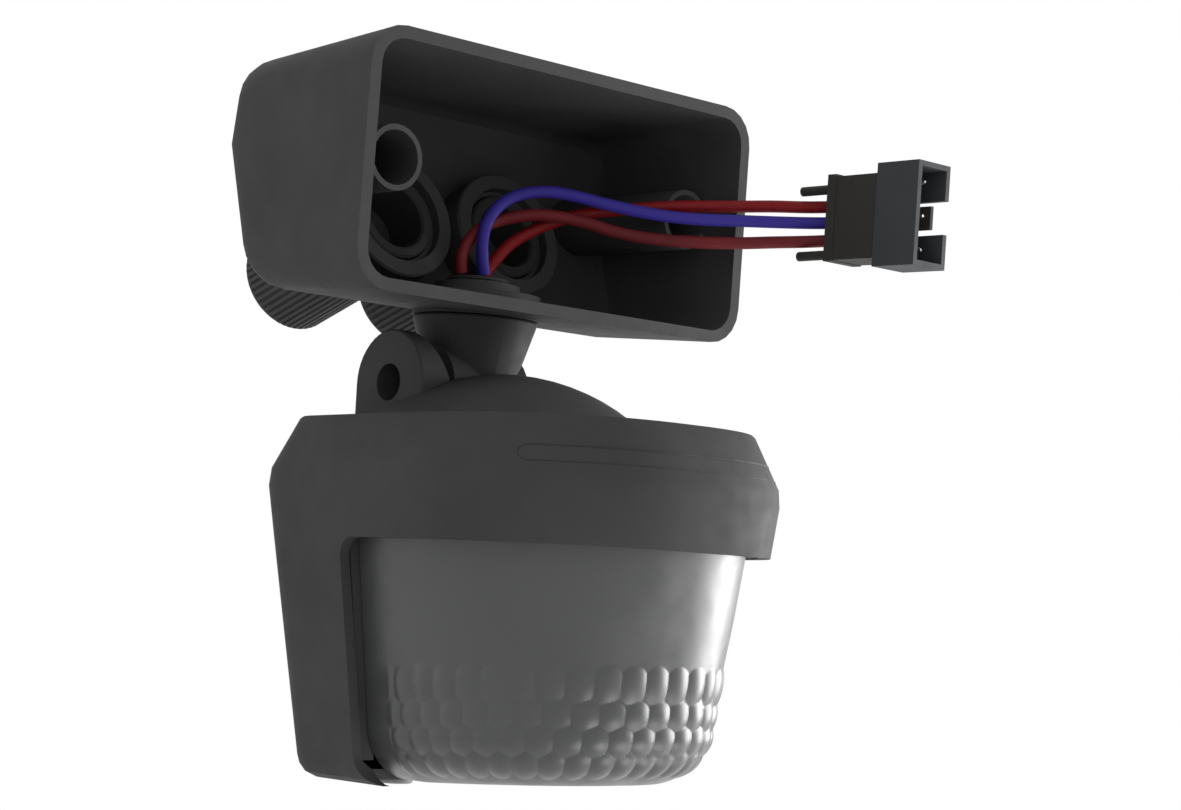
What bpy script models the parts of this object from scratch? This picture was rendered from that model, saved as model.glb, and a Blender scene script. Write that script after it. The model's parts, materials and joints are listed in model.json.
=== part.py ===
"""Outdoor motion sensor: an open connection housing, a swivelling neck and a tilting sensor head.

The housing is open at the front and takes two cables through ribbed glands at its lower rear. A hollow neck
turns under its floor and carries the head, which tilts about a cross axis. Three wires leave the neck inside
the housing and end in a three-pole plug.

Frame: metres, +Z up, -Y to the front (the side that the lens and the opening face), X across the width. The
origin is on the housing's flat rim, in the middle of the lower wall's thickness.
"""

import math

import bmesh
import bpy
from mathutils import Matrix, Vector

MM = 0.001
GAP = 0.3 * MM

# Housing
WALL = 2.7 * MM
HOUSING_HALF_WIDTH = 55.0 * MM
RIM_LOW = -WALL / 2
RIM_HIGH = RIM_LOW + 54.4 * MM
HOUSING_CORNER = 8.5 * MM
FLOOR_RISE = math.tan(math.radians(2.0))
ROOF_FALL = math.tan(math.radians(2.9))
SIDE_DRAFT = math.tan(math.radians(1.2))
RIDGE_DEPTH = 52.3 * MM
RIDGE_HEIGHT = 31.6 * MM
GLAND_DROOP = math.radians(19.0)
REAR_UPPER_LEAN = math.tan(math.radians(8.0))
REAR_LOWER_LEAN = math.tan(GLAND_DROOP)

# Split sleeves on the rear wall
SLEEVE_X = (-42.8 * MM, 44.8 * MM)
SLEEVE_HEIGHT = 27.0 * MM
SLEEVE_MOUTH = (5.5 * MM, 9.0 * MM)
SLEEVE_RADIUS = 6.9 * MM
SLEEVE_WALL = 1.15 * MM
SLEEVE_SLOT_HALF_ANGLE = math.radians(24.0)

# Cable glands: each mouth's centre, and stations along the gland's own axis, which runs to the rear
GLAND_X = 16.2 * MM
GLAND_MOUTH = Vector((0.0, 37.5 * MM, 21.05 * MM))
GLAND_FLANGE_RADIUS = 15.0 * MM
GLAND_SEAT = 8.15 * MM
GLAND_STEM_RADIUS = 9.5 * MM
GLAND_STEM_BORE = 8.2 * MM
GLAND_STEM_END = 28.0 * MM
GLAND_CAP_RADIUS = 12.2 * MM
GLAND_CAP_START = 10.9 * MM
GLAND_CAP_END = 43.2 * MM

# Neck
NECK_Y = 28.0 * MM
BOSS_LOW = -0.85 * MM
BOSS_HIGH = 4.65 * MM
BOSS_RADIUS = 14.25 * MM
SPIGOT_RADIUS = 7.7 * MM
SPIGOT_TOP = 7.2 * MM
NECK_TOP = BOSS_LOW - GAP
NECK_RADIUS = 13.95 * MM
NECK_TAPER = 0.30
NECK_BORE = 4.6 * MM

# Hinge between neck and head; the head's own sizes are measured from this axis
HINGE_Z = -17.35 * MM
HEAD_REST_TILT = math.radians(1.7)
BARREL_RADIUS = 9.6 * MM
BARREL_LEFT = -12.3 * MM
BARREL_RIGHT = 9.0 * MM
PIVOT_RADIUS = 2.8 * MM
PIVOT_BORE = 3.1 * MM
EAR_RADIUS = 11.6 * MM
EAR_FACE = -23.0 * MM
EAR_RECESS = -16.6 * MM
SADDLE_LEFT = -12.65 * MM
SADDLE_RIGHT = 9.35 * MM

# Head
HEAD_HALF_WIDTH = 45.0 * MM
HEAD_FRONT_DEPTH = 57.3 * MM
HEAD_FRONT_CENTRE = -20.0 * MM
HEAD_REAR = 17.0 * MM
HEAD_REAR_CORNER = 8.5 * MM
HEAD_BLUNTNESS = 2.5
HEAD_TOP = -8.7 * MM
HEAD_CREASE = -23.0 * MM
HEAD_BOTTOM = -84.9 * MM
HEAD_DRAFT = math.tan(math.radians(7.5))
HEAD_CHAMFER = 5.2 * MM
BROW_SLOPE = 1.4 * MM
HEAD_WALL = 2.4 * MM
BROW_EDGE = -34.4 * MM
WINDOW_EDGE = -13.0 * MM
LENS_INSET = 4.9 * MM
LENS_WALL = 1.3 * MM
LENS_TOP = -32.2 * MM
LENS_BOTTOM = -84.3 * MM
LENS_CURVE = 10.5 * MM
LENS_LIFT = 0.06
DOME_CENTRE = Vector((0.0, -13.3 * MM, -42.7 * MM))
DOME_RADIUS = 46.0 * MM
BOARD_LOW = -72.6 * MM
BOARD_THICKNESS = 1.6 * MM
DIAL_X = (-17.0 * MM, 0.0, 17.0 * MM)
DIAL_Y = -2.0 * MM

# Plug and wires
PLUG_X = 62.35 * MM
PLUG_Z = 27.45 * MM
PLUG_MOUTH = -49.5 * MM
SHROUD_REAR = -37.7 * MM
BLOCK_REAR = -23.0 * MM
SHROUD_SIZE = (10.7 * MM, 23.0 * MM)
SHROUD_WALL = 1.2 * MM
CONTACT_PITCH = 7.5 * MM
WIRE_DIAMETER = 2.8 * MM
WIRE_POINTS = 48

# Each wire's route in millimetres, from the neck's grommet to the back of the plug
WIRE_ROUTES = {
    "wire_blue": (
        (-0.6, 25.3, 9.0), (-1.4, 25.1, 11.5), (-2.1, 24.9, 15.5), (-1.7, 24.7, 19.5), (0.2, 24.5, 23.2),
        (3.4, 23.9, 26.2), (7.3, 22.4, 28.2), (12.0, 19.9, 29.1), (17.0, 17.1, 28.8), (22.6, 13.3, 27.7),
        (28.5, 9.1, 26.7), (34.2, 5.0, 26.1), (40.5, 0.4, 26.0), (47.4, -4.6, 26.4), (54.0, -9.6, 26.8),
        (59.3, -14.6, 27.1), (61.9, -19.2, 27.2), (62.4, -22.7, 27.2),
    ),
    "wire_brown": (
        (-4.5, 28.5, 9.0), (-5.0, 28.3, 11.3), (-4.6, 28.2, 14.0), (-3.2, 27.9, 16.8), (-0.4, 27.3, 19.6),
        (3.7, 26.0, 21.8), (9.0, 22.7, 23.5), (13.6, 19.5, 23.8), (19.2, 15.8, 23.1), (25.0, 11.8, 21.6),
        (31.0, 7.7, 20.8), (38.5, 2.3, 20.7), (47.5, -4.4, 21.3), (54.5, -9.9, 22.2), (59.5, -14.8, 22.8),
        (61.9, -19.3, 23.1), (62.4, -22.7, 23.1),
    ),
    "wire_red": (
        (2.6, 29.3, 9.2), (4.2, 28.9, 11.8), (8.2, 27.5, 17.0), (13.2, 24.6, 21.1), (17.3, 21.7, 23.5),
        (21.6, 18.7, 25.3), (27.0, 14.9, 26.8), (32.6, 10.7, 27.9), (38.3, 6.0, 28.9), (43.6, 1.8, 29.5),
        (49.0, -2.8, 30.0), (55.0, -8.6, 30.6), (59.8, -14.4, 30.8), (61.9, -19.1, 30.9), (62.4, -22.7, 30.9),
    ),
}

# Colour, roughness and metallic value of each material
MATERIALS = {
    "housing_plastic": ((0.050, 0.050, 0.049), 0.55, 0.0),
    "lens_plastic": ((0.30, 0.32, 0.31), 0.35, 0.0),
    "rubber": ((0.020, 0.020, 0.020), 0.75, 0.0),
    "bright_steel": ((0.55, 0.55, 0.55), 0.35, 1.0),
    "dark_steel": ((0.05, 0.05, 0.05), 0.5, 1.0),
    "contact_metal": ((0.62, 0.60, 0.55), 0.3, 1.0),
    "plug_plastic": ((0.062, 0.065, 0.068), 0.5, 0.0),
    "plug_insert_plastic": ((0.050, 0.048, 0.044), 0.6, 0.0),
    "red_insulation": ((0.13, 0.008, 0.008), 0.45, 0.0),
    "blue_insulation": ((0.038, 0.030, 0.19), 0.45, 0.0),
    "brown_insulation": ((0.085, 0.014, 0.014), 0.45, 0.0),
    "board_laminate": ((0.02, 0.12, 0.05), 0.5, 0.0),
    "relay_plastic": ((0.02, 0.05, 0.14), 0.4, 0.0),
    "component_plastic": ((0.03, 0.03, 0.03), 0.45, 0.0),
    "terminal_plastic": ((0.35, 0.35, 0.33), 0.5, 0.0),
    "dial_plastic": ((0.16, 0.16, 0.16), 0.5, 0.0),
}


# Lays a prism on its side: its outline's (x, y) become (y, z), and its height runs along X
SIDE_ON = Matrix(((0, 0, 1, 0), (1, 0, 0, 0), (0, 1, 0, 0), (0, 0, 0, 1)))


def clear_scene():
    for obj in list(bpy.data.objects):
        bpy.data.objects.remove(obj, do_unlink=True)


def make_material(name):
    colour, roughness, metallic = MATERIALS[name]
    material = bpy.data.materials.new(name)
    material.use_nodes = True
    shader = material.node_tree.nodes["Principled BSDF"]
    shader.inputs["Base Color"].default_value = (*colour, 1.0)
    shader.inputs["Roughness"].default_value = roughness
    shader.inputs["Metallic"].default_value = metallic
    material.diffuse_color = (*colour, 1.0)
    return material


def add_object(name, mesh_data, material, parent=None):
    """Wraps a bmesh as an object that faces outwards, shaded smooth up to 35 degrees."""
    bmesh.ops.recalc_face_normals(mesh_data, faces=mesh_data.faces)
    mesh = bpy.data.meshes.new(name)
    mesh_data.to_mesh(mesh)
    mesh_data.free()
    mesh.shade_smooth()
    mesh.set_sharp_from_angle(angle=math.radians(35.0))
    obj = bpy.data.objects.new(name, mesh)
    bpy.context.scene.collection.objects.link(obj)
    if material:
        mesh.materials.append(MADE_MATERIALS[material])
    obj.parent = parent
    return obj


def add_helper(name, mesh_data, parent=None):
    """A solid that only shapes others."""
    obj = add_object(name, mesh_data, None, parent)
    obj.hide_render = True
    obj.display_type = "WIRE"
    return obj


def boolean(target, operation, helper):
    modifier = target.modifiers.new(helper.name, "BOOLEAN")
    modifier.operation = operation
    modifier.solver = "EXACT"
    modifier.object = helper


def add_empty(name, location, parent=None):
    empty = bpy.data.objects.new(name, None)
    empty.location = location
    empty.parent = parent
    bpy.context.scene.collection.objects.link(empty)
    return empty


def loft(rings, closed_loop=False, into=None):
    """Joins rings of equal length with quads. The ends are capped unless the rings close into a loop."""
    mesh_data = into or bmesh.new()
    rows = []
    for ring in rings:
        rows.append([mesh_data.verts.new(point) for point in ring])
    pairs = list(zip(rows, rows[1:]))
    if closed_loop:
        pairs.append((rows[-1], rows[0]))
    for first, second in pairs:
        for index in range(len(first)):
            after = (index + 1) % len(first)
            mesh_data.faces.new((first[index], first[after], second[after], second[index]))
    if not closed_loop:
        mesh_data.faces.new(rows[0])
        mesh_data.faces.new(rows[-1])
    return mesh_data


def turned(profile, segments=32, solid=False, into=None, place=Matrix()):
    """Turns (radius, height) points about Z. A solid profile is an open line, and its ends get flat caps."""
    angles = [2 * math.pi * step / segments for step in range(segments)]
    rings = []
    for radius, height in profile:
        ring = [place @ Vector((radius * math.cos(a), radius * math.sin(a), height)) for a in angles]
        rings.append(ring)
    return loft(rings, closed_loop=not solid, into=into)


def rod(radius, low, high, segments=24, into=None, place=Matrix()):
    return turned(((radius, low), (radius, high)), segments, True, into, place)


def extruded(outline, low, high, into=None, place=Matrix()):
    """A prism over an (x, y) outline, from height low to high."""
    rings = [[place @ Vector((x, y, z)) for x, y in outline] for z in (low, high)]
    return loft(rings, into=into)


def block(low, high, into=None):
    outline = ((low[0], low[1]), (high[0], low[1]), (high[0], high[1]), (low[0], high[1]))
    return extruded(outline, low[2], high[2], into)


def along_x(y=0.0, z=0.0):
    """Turns a shape's own Z axis to +X, through the point (0, y, z)."""
    return Matrix.Translation((0.0, y, z)) @ Matrix.Rotation(math.pi / 2, 4, "Y")


def along_y(x=0.0, z=0.0):
    """Turns a shape's own Z axis to +Y, through the point (x, 0, z)."""
    return Matrix.Translation((x, 0.0, z)) @ Matrix.Rotation(-math.pi / 2, 4, "X")


def arc(centre, radius, start, end, steps):
    points = []
    for step in range(steps + 1):
        angle = math.radians(start + (end - start) * step / steps)
        points.append((centre[0] + radius * math.cos(angle), centre[1] + radius * math.sin(angle)))
    return points


# Housing -----------------------------------------------------------------------------------------------


def rear_depth(z):
    """Depth of the housing's rear face, which has a soft level ridge and leans to the front above and below."""
    lean = REAR_UPPER_LEAN if z > RIDGE_HEIGHT else -REAR_LOWER_LEAN
    return RIDGE_DEPTH - (z - RIDGE_HEIGHT) * lean


def housing_ring(fraction, inset, wall):
    """A rounded rectangle around the housing, at a fraction of the depth from the rim to the rear face."""
    depth = fraction * (RIDGE_DEPTH - wall)
    half_x = HOUSING_HALF_WIDTH - SIDE_DRAFT * depth - wall - inset
    low = RIM_LOW + FLOOR_RISE * depth + wall + inset
    high = RIM_HIGH - ROOF_FALL * depth - wall - inset
    radius = max(HOUSING_CORNER - wall - inset * 0.4, 1.0 * MM)
    outline = [(half_x, RIDGE_HEIGHT)]
    for centre_x, centre_z, start in (
        (half_x - radius, high - radius, 0),
        (radius - half_x, high - radius, 90),
        (radius - half_x, low + radius, 180),
        (half_x - radius, low + radius, 270),
    ):
        outline += arc((centre_x, centre_z), radius, start, start + 90, 5)
        if start == 90:
            outline.append((-half_x, RIDGE_HEIGHT))
    return [Vector((x, fraction * (rear_depth(z) - wall), z)) for x, z in outline]


def housing_ridge(wall):
    """The rear face drawn together along its ridge, so that each half of the face stays flat."""
    ring = housing_ring(1.0, 14.0 * MM, wall)
    level = 0.4 * MM
    points = []
    for point in ring:
        height = max(-level, min(level, point.z - RIDGE_HEIGHT))
        points.append(Vector((point.x, rear_depth(RIDGE_HEIGHT + height) - wall, RIDGE_HEIGHT + height)))
    return points


def make_housing(gland_places):
    edge = ((0.0, 0.0), (0.45, 0.0), (0.9, 0.0), (0.95, 0.4 * MM), (0.985, 1.5 * MM), (1.0, 3.6 * MM))
    outer = [housing_ring(fraction, inset, 0.0) for fraction, inset in edge]
    inner = [housing_ring(fraction, inset, WALL) for fraction, inset in edge]
    rings = [housing_ridge(0.0)] + outer[::-1] + inner + [housing_ridge(WALL)]
    housing = add_object("housing_shell", loft(rings), "housing_plastic")

    boss = rod(BOSS_RADIUS, BOSS_LOW, BOSS_HIGH, 40, place=Matrix.Translation((0.0, NECK_Y, 0.0)))
    boolean(housing, "UNION", add_helper("neck_boss", boss))
    for x, mouth in zip(SLEEVE_X, SLEEVE_MOUTH):
        boolean(housing, "UNION", add_helper(f"sleeve_at_{x:.3f}", split_sleeve(x, mouth)))
    recess = rod(9.9 * MM, BOSS_HIGH, 12.0 * MM, 32, place=Matrix.Translation((0.0, NECK_Y, 0.0)))
    boolean(housing, "DIFFERENCE", add_helper("neck_nut_recess", recess))
    bore = rod(SPIGOT_RADIUS + GAP, -5.0 * MM, 12.0 * MM, 32, place=Matrix.Translation((0.0, NECK_Y, 0.0)))
    boolean(housing, "DIFFERENCE", add_helper("neck_hole", bore))
    for side, place in gland_places.items():
        seat = rod(GLAND_FLANGE_RADIUS + GAP, -2.0 * MM, GLAND_SEAT, 36, place=place)
        boolean(housing, "DIFFERENCE", add_helper(f"gland_seat_{side}", seat))
        hole = rod(GLAND_STEM_RADIUS + GAP, -2.0 * MM, 18.0 * MM, 32, place=place)
        boolean(housing, "DIFFERENCE", add_helper(f"gland_hole_{side}", hole))


def split_sleeve(x, mouth):
    """A thin tube from the rear wall towards the opening, slit along the side that faces the side wall."""
    facing = 0.0 if x > 0 else 180.0
    slot = math.degrees(SLEEVE_SLOT_HALF_ANGLE)
    outside = arc((x, SLEEVE_HEIGHT), SLEEVE_RADIUS, facing + slot, facing + 360 - slot, 20)
    inside = arc((x, SLEEVE_HEIGHT), SLEEVE_RADIUS - SLEEVE_WALL, facing + 360 - slot, facing + slot, 20)
    outline = outside + inside
    front = [Vector((px, mouth, pz)) for px, pz in outline]
    rear = [Vector((px, rear_depth(pz) - WALL * 0.6, pz)) for px, pz in outline]
    return loft([front, rear])


# Cable glands: shapes in (radius, distance along the gland's axis) ---------------------------------------


def make_gland(side, axis):
    seat = GLAND_SEAT - GAP
    body = (
        (11.4 * MM, 0.0), (14.6 * MM, 0.0), (GLAND_FLANGE_RADIUS, 0.5 * MM), (GLAND_FLANGE_RADIUS, seat),
        (GLAND_STEM_RADIUS, seat), (GLAND_STEM_RADIUS, GLAND_STEM_END), (GLAND_STEM_BORE, GLAND_STEM_END),
        (GLAND_STEM_BORE, 6.4 * MM), (10.4 * MM, 6.4 * MM), (10.4 * MM, 2.4 * MM), (11.4 * MM, 2.4 * MM),
    )
    add_object(f"gland_body_{side}", turned(body), "housing_plastic", axis)
    seal = (
        (7.9 * MM, 1.0 * MM), (9.6 * MM, 1.0 * MM), (10.1 * MM, 1.5 * MM), (10.1 * MM, 6.1 * MM),
        (7.9 * MM, 6.1 * MM), (7.9 * MM, 24.0 * MM), (5.0 * MM, 24.0 * MM), (5.0 * MM, 14.0 * MM),
        (6.9 * MM, 12.5 * MM), (7.4 * MM, 1.6 * MM),
    )
    add_object(f"gland_seal_{side}", turned(seal), "rubber", axis)
    low = GLAND_STEM_END + GAP
    high = low + 2.6 * MM
    ring = ((5.5 * MM, low), (GLAND_STEM_RADIUS, low), (GLAND_STEM_RADIUS, high), (5.5 * MM, high))
    add_object(f"gland_clamp_ring_{side}", turned(ring), "housing_plastic", axis)
    bore = GLAND_STEM_RADIUS + GAP
    cap = (
        (bore, GLAND_CAP_START), (GLAND_CAP_RADIUS, GLAND_CAP_START), (GLAND_CAP_RADIUS, GLAND_CAP_END - 0.9 * MM),
        (GLAND_CAP_RADIUS - 0.9 * MM, GLAND_CAP_END), (6.5 * MM, GLAND_CAP_END), (6.5 * MM, GLAND_CAP_END - 3 * MM),
        (bore, GLAND_CAP_END - 3 * MM),
    )
    add_object(f"gland_cap_{side}", turned(cap), "housing_plastic", axis)


# Neck ----------------------------------------------------------------------------------------------------


def make_neck(pan_axis):
    """The neck turns about its own Z axis: a spigot through the floor, a cone, and the hinge barrel."""
    hinge = HINGE_Z
    cone_end = NECK_RADIUS - NECK_TAPER * (NECK_TOP - hinge)
    profile = (
        (NECK_BORE, SPIGOT_TOP), (SPIGOT_RADIUS, SPIGOT_TOP), (SPIGOT_RADIUS, NECK_TOP),
        (9.6 * MM, NECK_TOP), (9.6 * MM, NECK_TOP - 1.6 * MM), (11.6 * MM, NECK_TOP - 1.6 * MM),
        (11.6 * MM, NECK_TOP), (NECK_RADIUS - 0.3 * MM, NECK_TOP), (NECK_RADIUS, NECK_TOP - 0.4 * MM),
        (cone_end, hinge), (NECK_BORE, hinge),
    )
    neck = add_object("neck", turned(profile, 40), "housing_plastic", pan_axis)
    barrel = rod(BARREL_RADIUS, BARREL_LEFT, BARREL_RIGHT, 36, place=along_x(0.0, hinge))
    boolean(neck, "UNION", add_helper("neck_barrel", barrel, pan_axis))
    wire_way = rod(NECK_BORE, -32.0 * MM, SPIGOT_TOP + 1.0 * MM, 40)
    boolean(neck, "DIFFERENCE", add_helper("neck_wire_way", wire_way, pan_axis))
    pivot_hole = rod(PIVOT_BORE, -14.0 * MM, 14.0 * MM, 20, place=along_x(0.0, hinge))
    boolean(neck, "DIFFERENCE", add_helper("neck_pivot_hole", pivot_hole, pan_axis))

    seal_low = NECK_TOP - 1.3 * MM
    seal = ((9.9 * MM, seal_low), (11.3 * MM, seal_low), (11.3 * MM, NECK_TOP), (9.9 * MM, NECK_TOP))
    add_object("neck_seal", turned(seal), "rubber", pan_axis)
    nut_low = BOSS_HIGH + GAP
    nut_high = 6.7 * MM
    nut = ((8.0 * MM, nut_low), (9.5 * MM, nut_low), (9.5 * MM, nut_high), (8.0 * MM, nut_high))
    add_object("neck_nut", turned(nut), "housing_plastic", pan_axis)
    grommet = (
        (4.3 * MM, 1.5 * MM), (4.3 * MM, SPIGOT_TOP + GAP), (6.9 * MM, SPIGOT_TOP + GAP),
        (6.9 * MM, 8.2 * MM - 0.3 * MM), (6.6 * MM, 8.2 * MM),
    )
    add_object("wire_grommet", turned(grommet, 32, solid=True), "rubber", pan_axis)


# Head: all in the hinge axis's own frame -------------------------------------------------------------------


def head_offset(z):
    """How far the head's tapered side stands inside its widest outline at height z."""
    return max(0.0, (HEAD_CREASE - z) * HEAD_DRAFT)


def head_front(offset, set_back=0.0, steps=40):
    """The head's front, from its left side round to its right: half of a blunt ellipse."""
    depth = HEAD_FRONT_DEPTH - offset - set_back
    points = []
    for step in range(steps + 1):
        angle = math.pi * step / steps
        across = math.copysign(abs(math.cos(angle)) ** (2 / HEAD_BLUNTNESS), math.cos(angle))
        ahead = abs(math.sin(angle)) ** (2 / HEAD_BLUNTNESS)
        points.append((-(HEAD_HALF_WIDTH - offset) * across, HEAD_FRONT_CENTRE - depth * ahead))
    return points


def head_outline(offset, set_back=0.0):
    """The whole D-shaped outline, with the flat rear's round corners."""
    half = HEAD_HALF_WIDTH - offset
    rear = HEAD_REAR - offset
    radius = max(HEAD_REAR_CORNER - offset * 0.3, 2.0 * MM)
    right = arc((half - radius, rear - radius), radius, 0, 90, 5)
    left = [(-x, y) for x, y in reversed(right)]
    return head_front(offset, set_back) + right + left


def make_head_shell(tilt_axis):
    levels = (
        (HEAD_BOTTOM, 2.6 * MM, 1.8 * MM),
        (HEAD_BOTTOM + 1.0 * MM, 1.0 * MM, 3.4 * MM),
        (HEAD_BOTTOM + 2.7 * MM, 0.2 * MM, 4.2 * MM),
        (HEAD_BOTTOM + 4.5 * MM, 0.0, HEAD_WALL),
        (-58.0 * MM, 0.0, HEAD_WALL),
        (BROW_EDGE, 0.0, HEAD_WALL),
        (HEAD_CREASE - 0.8 * MM, 0.05 * MM, HEAD_WALL),
        (HEAD_CREASE + 3.0 * MM, 0.45 * MM, HEAD_WALL),
    )
    outer = []
    inner = []
    for z, round_in, wall in levels:
        offset = head_offset(z) + round_in
        outer.append([Vector((x, y, z)) for x, y in head_outline(offset)])
        inner.append([Vector((x, y, z)) for x, y in head_outline(offset + wall)])
    for z, offset in ((HEAD_TOP - 0.5 * MM, HEAD_CHAMFER - 0.5 * MM), (HEAD_TOP, HEAD_CHAMFER)):
        outer.append([Vector((x, y, z)) for x, y in head_outline(offset, BROW_SLOPE)])
    roof = head_outline(HEAD_CHAMFER + 0.6 * HEAD_WALL, BROW_SLOPE)
    inner.append([Vector((x, y, HEAD_TOP - HEAD_WALL)) for x, y in roof])
    shell = add_object("head_shell", loft(inner[::-1] + outer), "housing_plastic", tilt_axis)

    corner = 4.0 * MM
    toe = 6.5 * MM
    lower_edge = WINDOW_EDGE - 1.2 * MM
    front = -100.0 * MM
    window = arc((WINDOW_EDGE - corner, BROW_EDGE - corner), corner, 0, 90, 5)
    window += [(front, BROW_EDGE), (front, -95.0 * MM), (lower_edge - toe, -95.0 * MM)]
    window += arc((lower_edge - toe, HEAD_BOTTOM + toe), toe, -90, 0, 6)
    cutter = extruded(window, -60.0 * MM, 60.0 * MM, place=SIDE_ON)
    boolean(shell, "DIFFERENCE", add_helper("head_window", cutter, tilt_axis))
    way = rod(BARREL_RADIUS + 0.5 * MM, SADDLE_LEFT - 0.05 * MM, SADDLE_RIGHT + 0.05 * MM, 36, place=along_x())
    boolean(shell, "DIFFERENCE", add_helper("head_barrel_way", way, tilt_axis))


def make_hinge_dome(tilt_axis):
    """The dome over the head's roof, with the saddle for the neck's barrel and the ear at its left end."""
    base = HEAD_TOP + GAP
    sunk = base - 2.0 * MM
    start = math.degrees(math.asin((sunk - DOME_CENTRE.z) / DOME_RADIUS))
    profile = arc((0.0, DOME_CENTRE.z), DOME_RADIUS, start, 86, 9)
    place = Matrix.Translation((0.0, DOME_CENTRE.y, 0.0))
    dome = add_object("hinge_dome", turned(profile, 48, solid=True, place=place), "housing_plastic", tilt_axis)

    ear = hinge_ear(sunk)
    boolean(dome, "UNION", add_helper("hinge_ear", ear, tilt_axis))
    hub = rod(5.5 * MM, -17.5 * MM, SADDLE_LEFT, 24, place=along_x())
    boolean(dome, "UNION", add_helper("left_pivot_hub", hub, tilt_axis))
    right_boss = rod(5.0 * MM, 10.0 * MM, 14.0 * MM, 24, place=along_x())
    boolean(dome, "UNION", add_helper("right_pivot_boss", right_boss, tilt_axis))
    swing = arc((0.0, 0.0), 13.0 * MM, -18.8, 198.8, 26) + arc((0.0, 0.0), 10.0 * MM, 204.8, 335.2, 16)
    saddle = extruded(swing, SADDLE_LEFT, SADDLE_RIGHT, place=SIDE_ON)
    boolean(dome, "DIFFERENCE", add_helper("saddle", saddle, tilt_axis))
    cone_room = extruded(arc((0.0, 0.0), 13.0 * MM, -18.8, 198.8, 26), 5.0 * MM, 12.4 * MM, place=SIDE_ON)
    boolean(dome, "DIFFERENCE", add_helper("cone_room", cone_room, tilt_axis))
    trim = block((-60.0 * MM, 12.2 * MM, -30.0 * MM), (60.0 * MM, 60.0 * MM, 30.0 * MM))
    boolean(dome, "DIFFERENCE", add_helper("dome_rear_trim", trim, tilt_axis))
    below = block((-60.0 * MM, -60.0 * MM, -30.0 * MM), (60.0 * MM, 50.0 * MM, base))
    boolean(dome, "DIFFERENCE", add_helper("dome_floor_trim", below, tilt_axis))
    pivot_hole = rod(PIVOT_BORE, -25.0 * MM, 13.3 * MM, 20, place=along_x())
    boolean(dome, "DIFFERENCE", add_helper("dome_pivot_hole", pivot_hole, tilt_axis))
    recess = rod(4.1 * MM, -25.0 * MM, EAR_RECESS, 28, place=along_x())
    boolean(dome, "DIFFERENCE", add_helper("ear_recess", recess, tilt_axis))

    head = EAR_RECESS - GAP
    left = ((3.8 * MM, head - 0.8 * MM), (3.8 * MM, head), (PIVOT_RADIUS, head), (PIVOT_RADIUS, -6.0 * MM))
    add_object("pivot_screw", turned(left, 24, solid=True, place=along_x()), "dark_steel", tilt_axis)
    right = ((PIVOT_RADIUS, 4.8 * MM), (PIVOT_RADIUS, 13.0 * MM))
    add_object("pivot_pin", turned(right, 24, solid=True, place=along_x()), "dark_steel", tilt_axis)


def hinge_ear(foot):
    """The ear: a round-topped plate on a square foot. Its inner face leans away from the neck's cone."""
    radius = EAR_RADIUS
    ear = bmesh.new()
    rows = []
    for x, lean, size in (
        (EAR_FACE, 0.0, radius - 0.4 * MM), (EAR_FACE + 0.4 * MM, 0.0, radius), (-15.0 * MM, -0.38, radius),
    ):
        outline = arc((0.0, 0.0), size, 0, 180, 22) + [(-size, foot), (size, foot)]
        rows.append([ear.verts.new((x + lean * max(z, 0.0), y, z)) for y, z in outline])
    for first, second in zip(rows, rows[1:]):
        for index in range(len(first)):
            after = (index + 1) % len(first)
            ear.faces.new((first[index], first[after], second[after], second[index]))
    ear.faces.new(rows[0])
    ear.faces.new(rows[-1][:23])
    ear.faces.new(rows[-1][22:] + rows[-1][:1])
    return ear


def lens_lift(y):
    """The lens's underside rises a little towards the front."""
    return max(0.0, HEAD_FRONT_CENTRE - y) * LENS_LIFT


def swept_front(section, rear_edge):
    """Sweeps a section of (inset, z) points along the head's front, straight back at its ends to rear_edge."""
    rings = []
    count = len(head_front(0.0))
    for index in range(-1, count + 1):
        ring = []
        for inset, z in section:
            x, y = head_front(head_offset(z) + inset)[max(0, min(index, count - 1))]
            if index in (-1, count):
                y = rear_edge
            low = max(0.0, (LENS_BOTTOM + LENS_CURVE - z) / LENS_CURVE)
            ring.append(Vector((x, y, z + low * lens_lift(y))))
        rings.append(ring)
    return loft(rings)


def make_lens(tilt_axis):
    """The wrap-round lens: a thin sheet whose lower edge curves under to a narrow flange."""
    spring = LENS_BOTTOM + LENS_CURVE
    inside = LENS_CURVE - LENS_WALL
    centre = LENS_INSET + LENS_CURVE
    section = [(LENS_INSET, LENS_TOP), (LENS_INSET, -52.0 * MM)]
    section += arc((centre, spring), LENS_CURVE, 180, 270, 6)
    section += [(centre + 1.2 * MM, LENS_BOTTOM), (centre + 1.2 * MM, LENS_BOTTOM + LENS_WALL)]
    section += arc((centre, spring), inside, 270, 180, 6)
    section += [(LENS_INSET + LENS_WALL, -52.0 * MM), (LENS_INSET + LENS_WALL, LENS_TOP)]
    add_object("lens", swept_front(section, WINDOW_EDGE - GAP), "lens_plastic", tilt_axis)


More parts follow.
